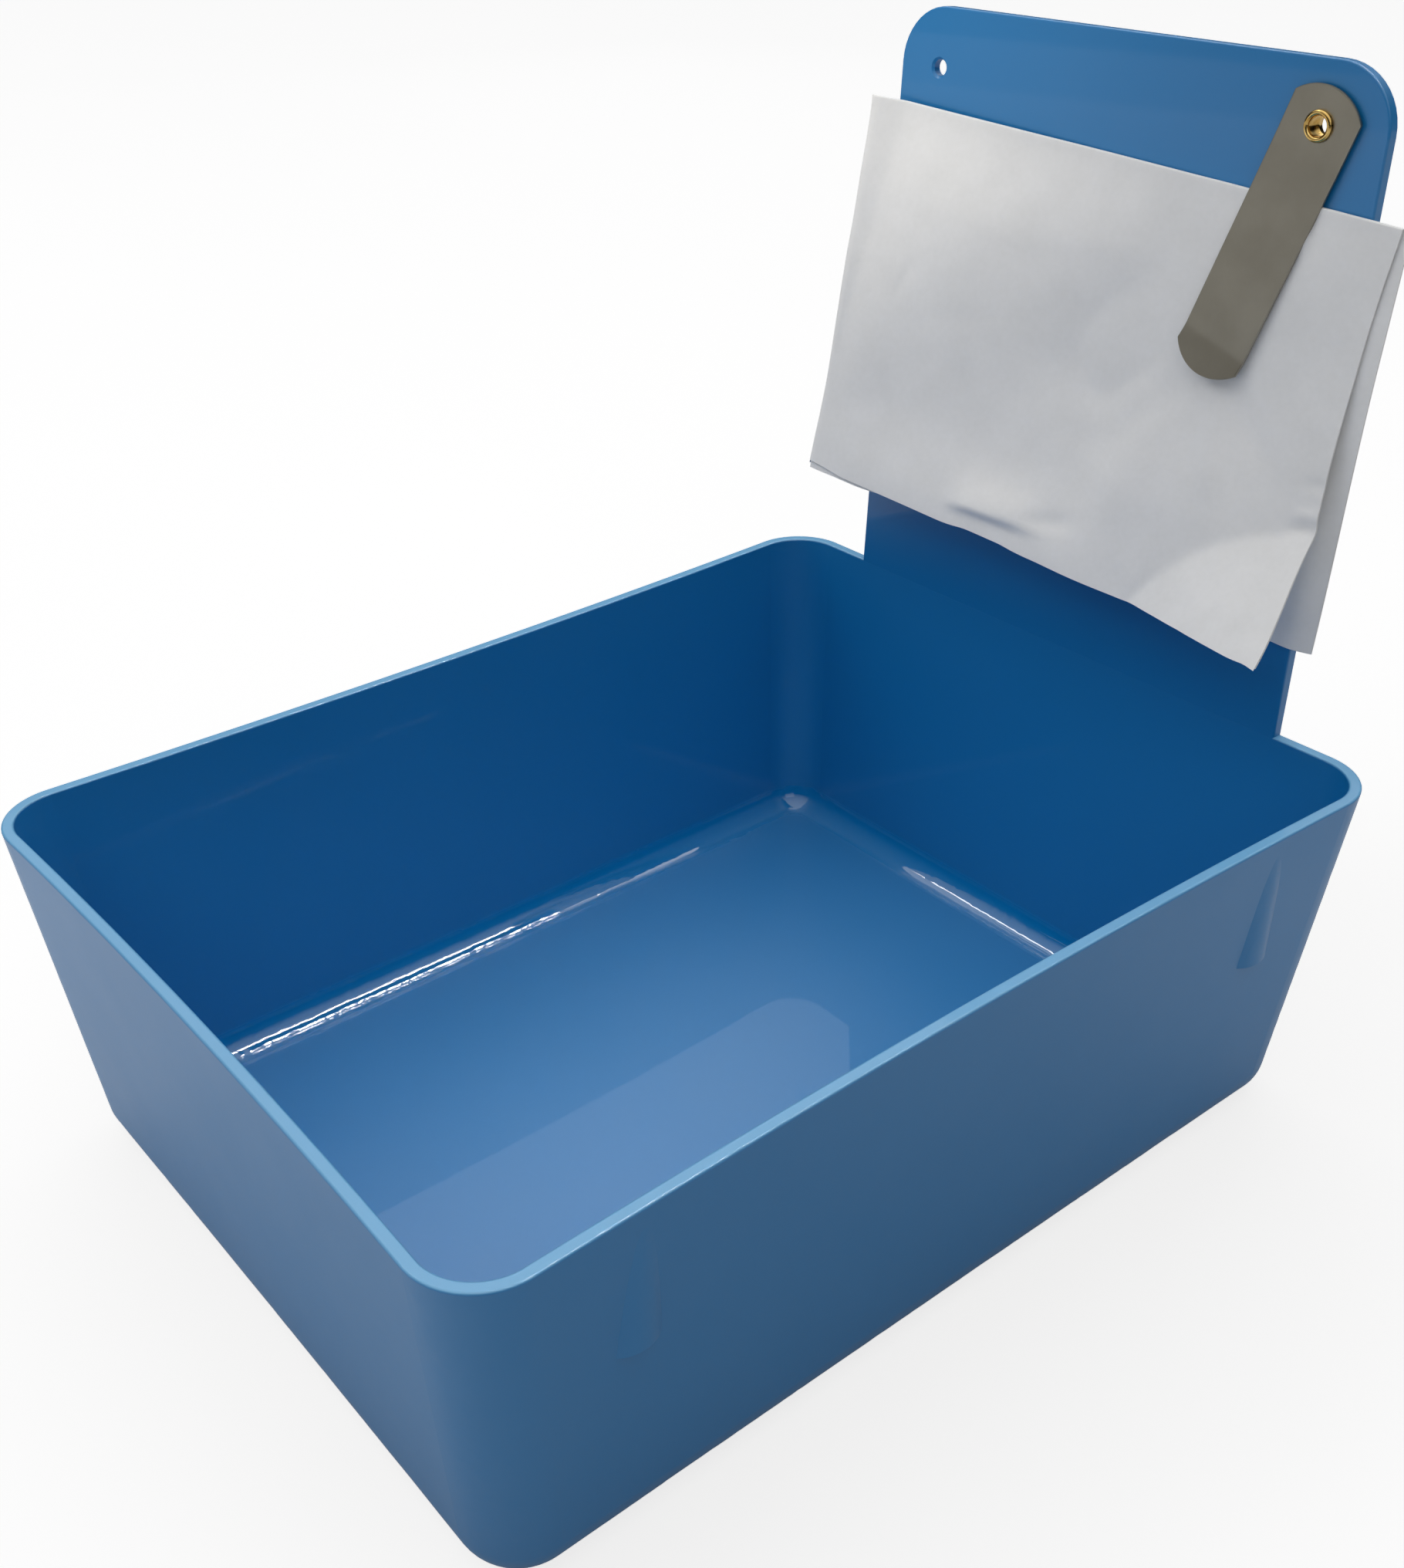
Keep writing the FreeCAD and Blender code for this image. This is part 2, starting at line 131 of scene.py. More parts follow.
# Shallow creases in the front leaf: start, end, width and depth (a dent is negative).
CREASES = [
    ((29.0, 31.0), (33.0, 47.0), 2.2, 0.45),
    ((22.0, 33.0), (10.0, 47.0), 3.0, -0.28),
    ((30.5, 29.0), (44.0, 42.0), 2.6, -0.24),
    ((21.0, 0.0), (25.5, 2.6), 1.1, -0.50),
    ((36.0, 1.0), (40.5, 7.5), 1.5, 0.50),
    ((41.5, 0.5), (40.0, 8.5), 1.3, -0.42),
    ((54.5, 47.0), (49.5, 48.3), 0.8, -0.45),
    ((54.5, 44.8), (50.5, 45.6), 0.7, 0.30),
    ((54.5, 40.0), (51.0, 40.6), 0.7, -0.25),
    ((-1.0, 65.0), (9.0, 62.0), 1.6, -0.30),
    ((24.5, 71.0), (28.0, 64.0), 0.8, -0.22),
    ((43.0, 64.5), (42.6, 70.5), 0.6, -0.26),
    ((48.0, 66.0), (47.4, 70.5), 0.6, -0.22),
    ((-40.5, 34.0), (-37.5, 27.0), 0.9, -0.16),
    ((4.0, 14.0), (8.0, 44.0), 10.0, -0.9),
    ((-30.0, 12.0), (-24.0, 34.0), 12.0, 0.7),
    ((-50.0, 30.0), (-44.0, 46.0), 5.0, 0.30),
    ((8.0, 55.0), (24.0, 50.0), 6.0, 0.28),
]

# ---------------------------------------------------------------- studio

STUDIO_RADIUS = 3.0
FLOOR_GLOW = 0.78
CEILING_STRENGTH = 1.37

LAMP_MIDDLE = (0.25, 0.65, 1.35)
LAMP_HALF_LENGTH = 0.29
LAMP_HALF_WIDTH = 0.37
# The dark stretch between the lamp's two rows of cells, to each side of its middle.
ROW_INNER_EDGE = 0.19
LOUVRE_SPACING = 0.026
# How much of a cell is open, to each side of its middle.
LOUVRE_OPEN = 0.16
LOUVRES_END = 0.72
LAMP_STRENGTH = 70.0
LAMP_DIM_END = 3.0

CAMERA_AZIMUTH = 51.862
CAMERA_ELEVATION = 28.514
CAMERA_ROLL = -1.266
CAMERA_PLACE = (200.03, -158.40, 215.10)
CAMERA_LENS = 42.490
CAMERA_SHIFT = (0.01647, -0.04248)

# ---------------------------------------------------------------- places on the tab


def tab_point(across, rise, off):
    """A point in the row frame, from millimetres across the tab, up it, and off its front."""
    eyelet = EYELET_AT_CLIP - TAB_FRONT * CLIP_TAB_GAP * MM
    from_eyelet = TAB_ACROSS * (across - EYELET_X) + TAB_UP * (rise - EYELET_RISE) + TAB_FRONT * off
    return eyelet + from_eyelet * MM


def turned_frame(across, rise, off, turn):
    """A 4x4 matrix for a frame on the tab, in millimetres: X across, Y up, Z off the tab."""
    x = TAB_ACROSS * math.cos(turn) + TAB_UP * math.sin(turn)
    y = TAB_UP * math.cos(turn) - TAB_ACROSS * math.sin(turn)
    made = Matrix.Identity(4)
    for column, axis in enumerate((x, y, TAB_FRONT)):
        for row in range(3):
            made[row][column] = axis[row] * MM
    origin = tab_point(across, rise, off)
    for row in range(3):
        made[row][3] = origin[row]
    return made


# ---------------------------------------------------------------- curves and meshes


def smoothstep(low, high, x):
    share = min(1.0, max(0.0, (x - low) / (high - low)))
    return share * share * (3 - 2 * share)


def soft_ramp(x, softness):
    """max(0, x) with a rounded corner."""
    if x > 20 * softness:
        return x
    return softness * math.log1p(math.exp(x / softness))


def mesh_object(name, vertices, faces, matrix):
    """A mesh piece from local points, with its place put into its vertices."""
    mesh = bpy.data.meshes.new(name)
    mesh.from_pydata([matrix @ Vector(v) for v in vertices], [], faces)
    mesh.validate()
    mesh.update()
    made = bpy.data.objects.new(name, mesh)
    bpy.context.scene.collection.objects.link(made)
    return made


def apply_modifiers(obj):
    """Turn the object's modified shape into its own mesh."""
    graph = bpy.context.evaluated_depsgraph_get()
    finished = bpy.data.meshes.new_from_object(obj.evaluated_get(graph))
    obj.modifiers.clear()
    obj.data = finished


def shade_smooth(obj, angle):
    """Smooth shading, with edges sharper than the angle kept sharp."""
    obj.data.shade_smooth()
    obj.data.set_sharp_from_angle(angle=math.radians(angle))


# ---------------------------------------------------------------- eyelet


def rolled_rim(inner, outer, seat, height, steps):
    """Points (radius, off) round one rolled rim, from the bore's wall over its top to its seat."""
    centre = (inner + outer) / 2
    half = (outer - inner) / 2
    foot = height - half if height > half else 0.0
    points = []
    for step in range(steps + 1):
        angle = math.pi * (1 - step / steps)
        points.append((centre + half * math.cos(angle), seat + foot + half * math.sin(angle)))
    return points


def eyelet_profile():
    """Points (radius, off) round the eyelet's section: front rim, barrel, rear rim, waisted bore."""
    front = CLIP_TAB_GAP + CLIP_THICKNESS + EYELET_CLIP_GAP
    back = -TAB_THICKNESS
    clearance = 0.02
    lip = EYELET_RIM - EYELET_RIM_LIP
    waist = EYELET_BORE - EYELET_WAIST
    profile = [(EYELET_BORE, 0.1), (EYELET_BORE, front - 0.4)]
    profile += rolled_rim(EYELET_BORE, EYELET_RIM, front, EYELET_RIM_HEIGHT, 14)
    profile += [(lip, front + clearance), (EYELET_BARREL, front + clearance)]
    profile += [(EYELET_BARREL, back - clearance), (lip, back - clearance)]
    rear = rolled_rim(EYELET_BORE, EYELET_RIM, -back, EYELET_RIM_HEIGHT, 14)
    profile += [(radius, -off) for radius, off in reversed(rear)]
    profile += [(EYELET_BORE, back + 0.3), (waist, back + 0.55)]
    profile += [(waist, back + 0.85), (EYELET_BORE, back + 1.1)]
    return profile


def make_eyelet():
    """The brass eyelet, its section turned round its axis."""
    profile = eyelet_profile()
    vertices = []
    for turn in range(EYELET_TURNS):
        angle = 2 * math.pi * turn / EYELET_TURNS
        for radius, off in profile:
            vertices.append((radius * math.cos(angle), radius * math.sin(angle), off))
    count = len(profile)
    faces = []
    for turn in range(EYELET_TURNS):
        following = (turn + 1) % EYELET_TURNS
        for index in range(count):
            after = (index + 1) % count
            corners = [
                turn * count + index,
                turn * count + after,
                following * count + after,
                following * count + index,
            ]
            faces.append(corners)
    place = turned_frame(EYELET_X, EYELET_RISE, 0.0, 0.0)
    eyelet = mesh_object("eyelet_rolled", vertices, faces, place)
    clean = bmesh.new()
    clean.from_mesh(eyelet.data)
    bmesh.ops.recalc_face_normals(clean, faces=clean.faces)
    clean.to_mesh(eyelet.data)
    clean.free()
    shade_smooth(eyelet, 50)
    return eyelet


# ---------------------------------------------------------------- spring clip


def clip_height(y):
    """How far the strip's back is off the head's back, at y along the strip (up is positive)."""
    blade_slope = CLIP_SLIP_LIFT / (CLIP_BEND_LINE - CLIP_FLEX_LINE)
    lip_slope = CLIP_LIP_LIFT / (CLIP_TIP_REACH - CLIP_BEND_LINE) - blade_slope
    blade = blade_slope * soft_ramp(-y - CLIP_FLEX_LINE, 1.0)
    return blade + lip_slope * soft_ramp(-y - CLIP_BEND_LINE, 0.35)


def clip_grid(columns, rows):
    """Points over the whole strip, as rows between its arched top and its arched tip."""
    half = CLIP_WIDTH / 2
    vertices = []
    for row in range(rows + 1):
        for column in range(columns + 1):
            x = -half + CLIP_WIDTH * column / columns
            arch = CLIP_END_RADIUS - math.sqrt(CLIP_END_RADIUS**2 - x * x)
            top = CLIP_TOP_REACH - arch
            tip = -CLIP_TIP_REACH + arch
            y = top + (tip - top) * row / rows
            vertices.append([x, y, 0.0])
    return vertices


def make_clip():
    """The steel strip in one piece, from its arched head over the slip to its bent-out lip."""
    columns = 42
    rows = 190
    vertices = clip_grid(columns, rows)
    faces = []
    for row in range(rows):
        for column in range(columns):
            a = row * (columns + 1) + column
            corners = [a, a + 1, a + columns + 2, a + columns + 1]
            middle_x = sum(vertices[i][0] for i in corners) / 4
            middle_y = sum(vertices[i][1] for i in corners) / 4
            if math.hypot(middle_x, middle_y) > CLIP_HOLE_RADIUS + CLIP_HOLE_MARGIN:
                faces.append(corners)
    # points inside the hole are moved out to its round edge
    hole_edge = CLIP_HOLE_RADIUS + 0.02
    for vertex in vertices:
        reach = math.hypot(vertex[0], vertex[1])
        if 0 < reach < hole_edge:
            vertex[0] *= hole_edge / reach
            vertex[1] *= hole_edge / reach
        vertex[2] = clip_height(vertex[1])
    place = turned_frame(EYELET_X, EYELET_RISE, CLIP_TAB_GAP, CLIP_TURN)
    clip = mesh_object("clip_strip", vertices, faces, place)
    clean = bmesh.new()
    clean.from_mesh(clip.data)
    loose = [v for v in clean.verts if not v.link_faces]
    bmesh.ops.delete(clean, geom=loose, context="VERTS")
    bmesh.ops.recalc_face_normals(clean, faces=clean.faces)
    clean.faces.ensure_lookup_table()
    if clean.faces[0].normal.dot(TAB_FRONT) < 0:
        bmesh.ops.reverse_faces(clean, faces=clean.faces)
    clean.to_mesh(clip.data)
    clean.free()
    solid = clip.modifiers.new("Thickness", "SOLIDIFY")
    solid.thickness = CLIP_THICKNESS * MM
    solid.offset = 1.0
    solid.use_even_offset = True
    edge = clip.modifiers.new("Edges", "BEVEL")
    edge.width = CLIP_EDGE_BREAK * MM
    edge.segments = 2
    edge.limit_method = "ANGLE"
    edge.angle_limit = math.radians(50)
    apply_modifiers(clip)
    shade_smooth(clip, 40)
    return clip


# ---------------------------------------------------------------- order slip
#
# On the slip, a is the distance to the right of its middle and d the distance below its top crease.


def segment_distance(a, d, start, end):
    """(distance from a segment, share along it) for a point of the slip."""
    ua, ud = end[0] - start[0], end[1] - start[1]
    length = math.hypot(ua, ud)
    share = ((a - start[0]) * ua + (d - start[1]) * ud) / length**2
    held = min(1.0, max(0.0, share))
    return math.hypot(a - start[0] - held * ua, d - start[1] - held * ud), held


def creases_at(a, d):
    """The height of all the creases at a place. Each fades toward its ends."""
    total = 0.0
    for start, end, width, depth in CREASES:
        distance, share = segment_distance(a, d, start, end)
        if distance < 3 * width:
            fade = 0.45 + 0.55 * math.sin(math.pi * share)
            total += depth * fade * math.exp(-((distance / width) ** 2))
    return total


def buckle_at(a, d):
    """A low bump above the foot that rises slowly and falls away sharply to a short crease."""
    ridge = 66.4 - 0.05 * (a + 9.0)
    fall = 5.0 if d < ridge else 0.9
    across = smoothstep(-21.0, -12.0, a) * (1 - smoothstep(-5.0, 6.0, a))
    return 1.15 * across * math.exp(-(((d - ridge) / fall) ** 2))


def sway_at(a, d):
    """The slow wave of the sheet's left part: steeper above and below a slanting band."""
    band = 52.0 - 0.42 * (a + 54.0)
    down = smoothstep(0.0, 18.0, d) * (1 - smoothstep(52.0, 71.0, d))
    room = down * (1 - smoothstep(4.0, 18.0, a))
    amount = 0.5 + 0.9 * smoothstep(-54.0, -38.0, a)
    return -amount * room * math.tanh((d - band) / 11.0)


def wrinkles_at(a, d, seed):
    """Slight unevenness of handled paper."""
    broad = noise.noise(Vector((a / 21.0, d / 17.0, seed)))
    fine = noise.noise(Vector((a / 6.0, d / 5.0, seed + 9.0)))
    return 0.30 * broad + 0.05 * fine


def freedom_at(a, d):
    """How much of its wrinkles the front leaf keeps: none where the clip holds it flat."""
    share = smoothstep(2.0, 14.0, math.hypot(a - PRESS_A, max(0.0, d - PRESS_D)))
    if d < PRESS_D + 4.0:
        strip_middle = 30.0 - 0.33 * (d - 15.0)
        share *= smoothstep(6.0, 12.0, abs(a - strip_middle))
    return share


def front_leaf(a, d):
    """How far the front leaf's middle stands off the tab."""
    left = 1.7 + 8.0 * (max(d, 0.0) / SLIP_HEIGHT) ** 1.25
    under_clip = 0.62 + 8.0 * soft_ramp((d - 31.0) / 40.0, 0.09) ** 1.12
    right = 0.8 + 5.0 * soft_ramp((d - 20.0) / 50.0, 0.05) ** 1.2
    off = left + (under_clip - left) * smoothstep(-62.0, 17.0, a)
    off += (right - off) * smoothstep(33.0, 58.0, a)
    beyond_bend = CORNER_BEND_RADIUS - math.hypot(a - CORNER_BEND_A, d - CORNER_BEND_D)
    off += CORNER_SLOPE * soft_ramp(beyond_bend, 0.25) * smoothstep(18.0, 30.0, a)
    facet = FACET_WIDTH - FACET_TAPER * d
    off += FACET_SLOPE * soft_ramp(facet - (a + SLIP_WIDTH / 2), 0.2)
    off += sway_at(a, d) + buckle_at(a, d) + creases_at(a, d)
    off += wrinkles_at(a, d, 3.0) * freedom_at(a, d)
    # the tab is behind it
    return LEAST_OFF + soft_ramp(off - LEAST_OFF, 0.05)


def back_leaf(a, d):
    """How far the back leaf's middle would stand off the tab with no front leaf over it."""
    left = front_leaf(-SLIP_WIDTH / 2, d) - 0.1
    flat = 0.34 + 0.25 * d / SLIP_HEIGHT
    from_fold = 1 - smoothstep(-60.0, 6.0, a)
    off = flat + max(0.0, left - flat) * from_fold
    curl = 0.5 * soft_ramp(a - 51.0, 0.5) * smoothstep(20.0, 70.0, d)
    return off - curl + 0.25 * wrinkles_at(a, d, 17.0) * from_fold


def slip_point(along, down, ply):
    """A point of the folded sheet, in the slip's own millimetres: (a, off).

    along runs from the back leaf's right edge round the left fold to the front leaf's right edge,
    down is the distance below the top crease, and ply is -1 for the inner ply and 1 for the outer.
    """
    fold_width = FOLD_WIDTH - 0.5 * down / SLIP_HEIGHT
    spread = 0.10 * smoothstep(0.0, 1.0, down / SLIP_HEIGHT) ** 2
    ply_gap = 0.075 + spread + 0.10 * math.exp(-down / 0.8)
    start = -SLIP_WIDTH / 2 + fold_width
    if along > fold_width:
        a = start + (along - fold_width)
        return a, front_leaf(a, down) + ply * ply_gap
    if along < -fold_width:
        a = start + (-along - fold_width)
        return a, min(back_leaf(a, down), front_leaf(a, down) - LEAF_GAP) - ply * ply_gap
    angle = math.pi * (along + fold_width) / (2 * fold_width)
    front = front_leaf(start, down)
    back = min(back_leaf(start, down), front - LEAF_GAP)
    a = start - (fold_width + ply * ply_gap) * math.sin(angle)
    off = (front + back) / 2 - ((front - back) / 2 + ply * ply_gap) * math.cos(angle)
    return a, off


def ply_height(a, front, ply):
    """How long a ply is at a place across the slip: the hand-made folds aren't quite square."""
    if not front:
        return SLIP_HEIGHT + 0.1 * ply - 1.7 * smoothstep(10.0, 50.0, a)
    height = SLIP_HEIGHT + 0.3 - 1.0 * smoothstep(5.0, 32.0, a) + 1.2 * smoothstep(24.0, 60.0, a)
    if ply > 0:
        return height - 0.8 * (1 - smoothstep(-53.0, -44.0, a))
    return height - 0.3 + 0.9 * (1 - smoothstep(-42.0, -28.0, a))


def edge_shift(along, down):
    """How far a point is moved across the slip, for the free right edges of its two leaves."""
    reach = abs(along)
    if along < 0:
        return 1.2 * smoothstep(0.0, 100.0, reach)
    hollow = 1.7 * math.sin(math.pi * min(down, KINK_DOWN) / KINK_DOWN)
    kink = 0.7 * smoothstep(20.0, KINK_DOWN, down)
    corner = 2.1 * smoothstep(KINK_DOWN, SLIP_HEIGHT, down)
    return (corner - hollow - kink) * smoothstep(75.0, SLIP_WIDTH, reach)


def ply_lines(alongs, ply, rows):
    """Lines of points of a ply, from the top crease down: paper keeps its length as it slopes."""
    heights = [ply_height(abs(along) - SLIP_WIDTH / 2, along > 0, ply) for along in alongs]
    depths = [0.0] * len(alongs)
    offs = None
    lines = []
    for row in range(rows + 1):
        line = []
        for column, along in enumerate(alongs):
            down = heights[column] * row / rows
            a, off = slip_point(along, down, ply)
            if offs is not None:
                step = heights[column] / rows
                rise = min(0.9 * step, abs(off - offs[column]))
                depths[column] += math.sqrt(step * step - rise * rise)
            line.append((a + edge_shift(along, down), -depths[column], off))
        offs = [point[2] for point in line]
        lines.append(line)
    return lines


def crease_lines(alongs, steps):
    """Lines of points over the top crease, from the outer plies to the inner ones."""
    lines = []
    for step in range(1, steps):
        angle = math.pi * step / steps
        line = []
        for along in alongs:
            a, off = slip_point(along, 0.0, math.cos(angle))
            line.append((a + edge_shift(along, 0.0), CREASE_HEIGHT * math.sin(angle), off))
        lines.append(line)
    return lines


def make_slip():
    """The sheet of paper, folded at its top and then at its left, so that it lies in four plies."""
    steps = 128
    rows = 86
    reach = SLIP_WIDTH - FOLD_WIDTH
    alongs = [-SLIP_WIDTH + reach * step / steps for step in range(steps + 1)]
    alongs += [FOLD_WIDTH * (step / 6 - 1) for step in range(1, 12)]
    alongs += [FOLD_WIDTH + reach * step / steps for step in range(steps + 1)]
    outer = ply_lines(alongs, 1, rows)
    inner = ply_lines(alongs, -1, rows)
    lines = outer[::-1] + crease_lines(alongs, 8) + inner
    vertices = [point for line in lines for point in line]
    count = len(alongs)
    faces = []
    for line in range(len(lines) - 1):
        for column in range(count - 1):
            i = line * count + column
            faces.append((i, i + 1, i + count + 1, i + count))
    place = turned_frame(SLIP_CENTRE_X, SLIP_TOP_RISE, 0.0, SLIP_TURN)
    slip = mesh_object("order_slip_paper", vertices, faces, place)
    solid = slip.modifiers.new("Thickness", "SOLIDIFY")
    solid.thickness = PAPER_THICKNESS * MM
    solid.offset = 0.0
    apply_modifiers(slip)
    shade_smooth(slip, 60)
    return slip


# ---------------------------------------------------------------- node helpers


def new_material(name):
    """A node material with its node list, its links and its Principled shader."""
    made = bpy.data.materials.new(name)
    made.use_nodes = True
    tree = made.node_tree
    return made, tree.nodes, tree.links, tree.nodes["Principled BSDF"]


def object_coordinates(nodes):
    found = nodes.get("Texture Coordinate") or nodes.new("ShaderNodeTexCoord")
    return found.outputs["Object"]


def object_normal(nodes):
    found = nodes.get("Texture Coordinate") or nodes.new("ShaderNodeTexCoord")
    return found.outputs["Normal"]


def split_vector(nodes, links, vector):
    """The X, Y and Z outputs of a vector."""
    split = nodes.new("ShaderNodeSeparateXYZ")
    links.new(vector, split.inputs["Vector"])
    return split.outputs


def noise_node(nodes, links, scale, detail, vector=None):
    """The height of a noise texture over the object, or over another vector."""
    texture = nodes.new("ShaderNodeTexNoise")
    texture.inputs["Scale"].default_value = scale
    texture.inputs["Detail"].default_value = detail
    links.new(vector or object_coordinates(nodes), texture.inputs["Vector"])
    return texture.outputs["Fac"]


def ramp_node(nodes, links, factor, stops):
    """A colour ramp over a factor: stops are (place, colour)."""
    ramp = nodes.new("ShaderNodeValToRGB")
    links.new(factor, ramp.inputs["Fac"])
    elements = ramp.color_ramp.elements
    while len(elements) < len(stops):
        elements.new(0.5)
    for element, (place, colour) in zip(elements, stops):
        element.position = place
        element.color = (*colour, 1.0)
    return ramp.outputs["Color"]


def grey_stops(stops):
    """Stops of a ramp from (place, grey)."""
    return [(place, (grey, grey, grey)) for place, grey in stops]


def bump_node(nodes, links, height, distance, normal=None):
    bump = nodes.new("ShaderNodeBump")
    bump.inputs["Distance"].default_value = distance
    links.new(height, bump.inputs["Height"])
    if normal is not None:
        links.new(normal, bump.inputs["Normal"])
    return bump.outputs["Normal"]


def map_range(nodes, links, value, low, high, to_low=0.0, to_high=1.0):
    """A value's stretch from low to high, turned into one from to_low to to_high."""
    stretch = nodes.new("ShaderNodeMapRange")
    stretch.inputs["From Min"].default_value = low
    stretch.inputs["From Max"].default_value = high
    stretch.inputs["To Min"].default_value = to_low
    stretch.inputs["To Max"].default_value = to_high
    links.new(value, stretch.inputs["Value"])
    return stretch.outputs["Result"]


def colour_mix(nodes, links, factor, first, second):
    """The first colour where the factor is 0 and the second where it is 1."""
    mix = nodes.new("ShaderNodeMix")
    mix.data_type = "RGBA"
    links.new(factor, mix.inputs["Factor"])
    links.new(first, mix.inputs["A"])
    links.new(second, mix.inputs["B"])
    return mix.outputs["Result"]


def math_node(nodes, links, operation, first, second):
    """Arithmetic on a socket and a second socket or number."""
    step = nodes.new("ShaderNodeMath")
    step.operation = operation
    links.new(first, step.inputs[0])
    if isinstance(second, float):
        step.inputs[1].default_value = second
    else:
        links.new(second, step.inputs[1])
    return step.outputs["Value"]


def product(nodes, links, *factors):
    """The product of several sockets."""
    total = factors[0]
    for factor in factors[1:]:
        total = math_node(nodes, links, "MULTIPLY", total, factor)
    return total


# ---------------------------------------------------------------- materials


def pan_colour(nodes, links, place, facing):
    """Deep blue, with painted light: paler on what faces up, and a painted highlight on the rim's
    top.
    """
    flow = noise_node(nodes, links, 18.0, 3.0)
    clean = ramp_node(nodes, links, flow, [
        (0.30, (0.0010, 0.174, 0.445)),
        (0.70, (0.0012, 0.182, 0.463)),
    ])
    # painted light: a paler, greyer blue for surfaces that face up, as if lit from above
    painted_upward_light = ramp_node(nodes, links, flow, [
        (0.30, (0.018, 0.196, 0.462)),
        (0.70, (0.022, 0.204, 0.480)),
    ])
    # painted highlight: a pale cyan for the top of the rim
    painted_rim_highlight = ramp_node(nodes, links, flow, [
        (0.30, (0.105, 0.345, 0.60)),
        (0.70, (0.125, 0.375, 0.63)),
    ])
    # how far a surface faces up, which sets how much painted light it gets
    upward = map_range(nodes, links, facing["Z"], 0.45, 0.95)
    body = colour_mix(nodes, links, upward, clean, painted_upward_light)
    # the rim's top, where the painted highlight is mixed in
    rim_top = product(
        nodes, links,
        map_range(nodes, links, place["Z"], 0.0605, 0.0612),
        map_range(nodes, links, place["Z"], 0.0632, 0.0628),
        map_range(nodes, links, facing["Z"], 0.25, 0.8),
    )
    return colour_mix(nodes, links, rim_top, body, painted_rim_highlight)


def pan_roughness(nodes, links, place, facing):
    """Hazy from handling, and polished on the fillet round the floor."""
    handling = noise_node(nodes, links, 65.0, 5.0)
    haze = map_range(nodes, links, handling, 0.35, 0.75, 0.46, 0.50)
    fillet = product(
        nodes, links,
        map_range(nodes, links, facing["Z"], 0.15, 0.35),
        map_range(nodes, links, facing["Z"], 0.995, 0.97),
        map_range(nodes, links, place["Z"], 0.009, 0.008),
    )
    return product(nodes, links, haze, map_range(nodes, links, fillet, 0.0, 1.0, 1.0, 0.05))


def uneven_fillet(nodes, links, place):
    """A height that wavers along the front half of the floor's left fillet, and is 0 elsewhere."""
    return product(
        nodes, links,
        noise_node(nodes, links, 240.0, 0.0),
        map_range(nodes, links, place["X"], -0.052, -0.056),
        map_range(nodes, links, place["Z"], 0.009, 0.007),
        map_range(nodes, links, place["Y"], 0.020, 0.012),
    )


def pan_plastic():
    """Moulded plastic: a deep blue body with a hazy surface under a thin, sharp gloss."""
    made, nodes, links, shader = new_material("pan_plastic")
    place = split_vector(nodes, links, object_coordinates(nodes))
    facing = split_vector(nodes, links, object_normal(nodes))
    links.new(pan_colour(nodes, links, place, facing), shader.inputs["Base Color"])
    links.new(pan_roughness(nodes, links, place, facing), shader.inputs["Roughness"])
    shader.inputs["IOR"].default_value = 1.60
    shader.inputs["Coat Weight"].default_value = 0.36
    shader.inputs["Coat Roughness"].default_value = 0.03
    wave = bump_node(nodes, links, noise_node(nodes, links, 45.0, 1.0), 0.00001)
    uneven = bump_node(nodes, links, uneven_fillet(nodes, links, place), 0.000007, normal=wave)
    fine = noise_node(nodes, links, 1800.0, 2.0)
    grain = bump_node(nodes, links, fine, 0.000002, normal=uneven)
    links.new(grain, shader.inputs["Normal"])
    links.new(uneven, shader.inputs["Coat Normal"])
    return made


def eyelet_brass():
    """Brass, darker and browner in patches where it has tarnished."""
    made, nodes, links, shader = new_material("eyelet_brass")
    tarnish = noise_node(nodes, links, 700.0, 4.0)
    colour = ramp_node(nodes, links, tarnish, [
        (0.30, (0.52, 0.31, 0.08)),
        (0.60, (0.80, 0.56, 0.20)),
    ])
    links.new(colour, shader.inputs["Base Color"])
    shader.inputs["Metallic"].default_value = 1.0
    shader.inputs["Roughness"].default_value = 0.22
    links.new(bump_node(nodes, links, tarnish, 0.00003), shader.inputs["Normal"])
    return made


def clip_steel():
    """Rolled spring steel: fine lines along the strip, satin, slightly warm."""
    made, nodes, links, shader = new_material("clip_steel")
    turn = nodes.new("ShaderNodeMapping")
    turn.inputs["Rotation"].default_value = (0.0, CLIP_TURN, 0.0)
    turn.inputs["Scale"].default_value = (1.0, 1.0, 0.02)
    links.new(object_coordinates(nodes), turn.inputs["Vector"])
    lines = noise_node(nodes, links, 5200.0, 3.0, turn.outputs["Vector"])
    patches = noise_node(nodes, links, 120.0, 4.0)
    colour = ramp_node(nodes, links, patches, [
        (0.30, (0.315, 0.293, 0.238)),
        (0.70, (0.365, 0.340, 0.280)),
    ])
    links.new(colour, shader.inputs["Base Color"])
    shader.inputs["Metallic"].default_value = 1.0
    roughness = map_range(nodes, links, lines, 0.0, 1.0, 0.34, 0.46)
    links.new(roughness, shader.inputs["Roughness"])
    links.new(bump_node(nodes, links, lines, 0.000004), shader.inputs["Normal"])
    return made


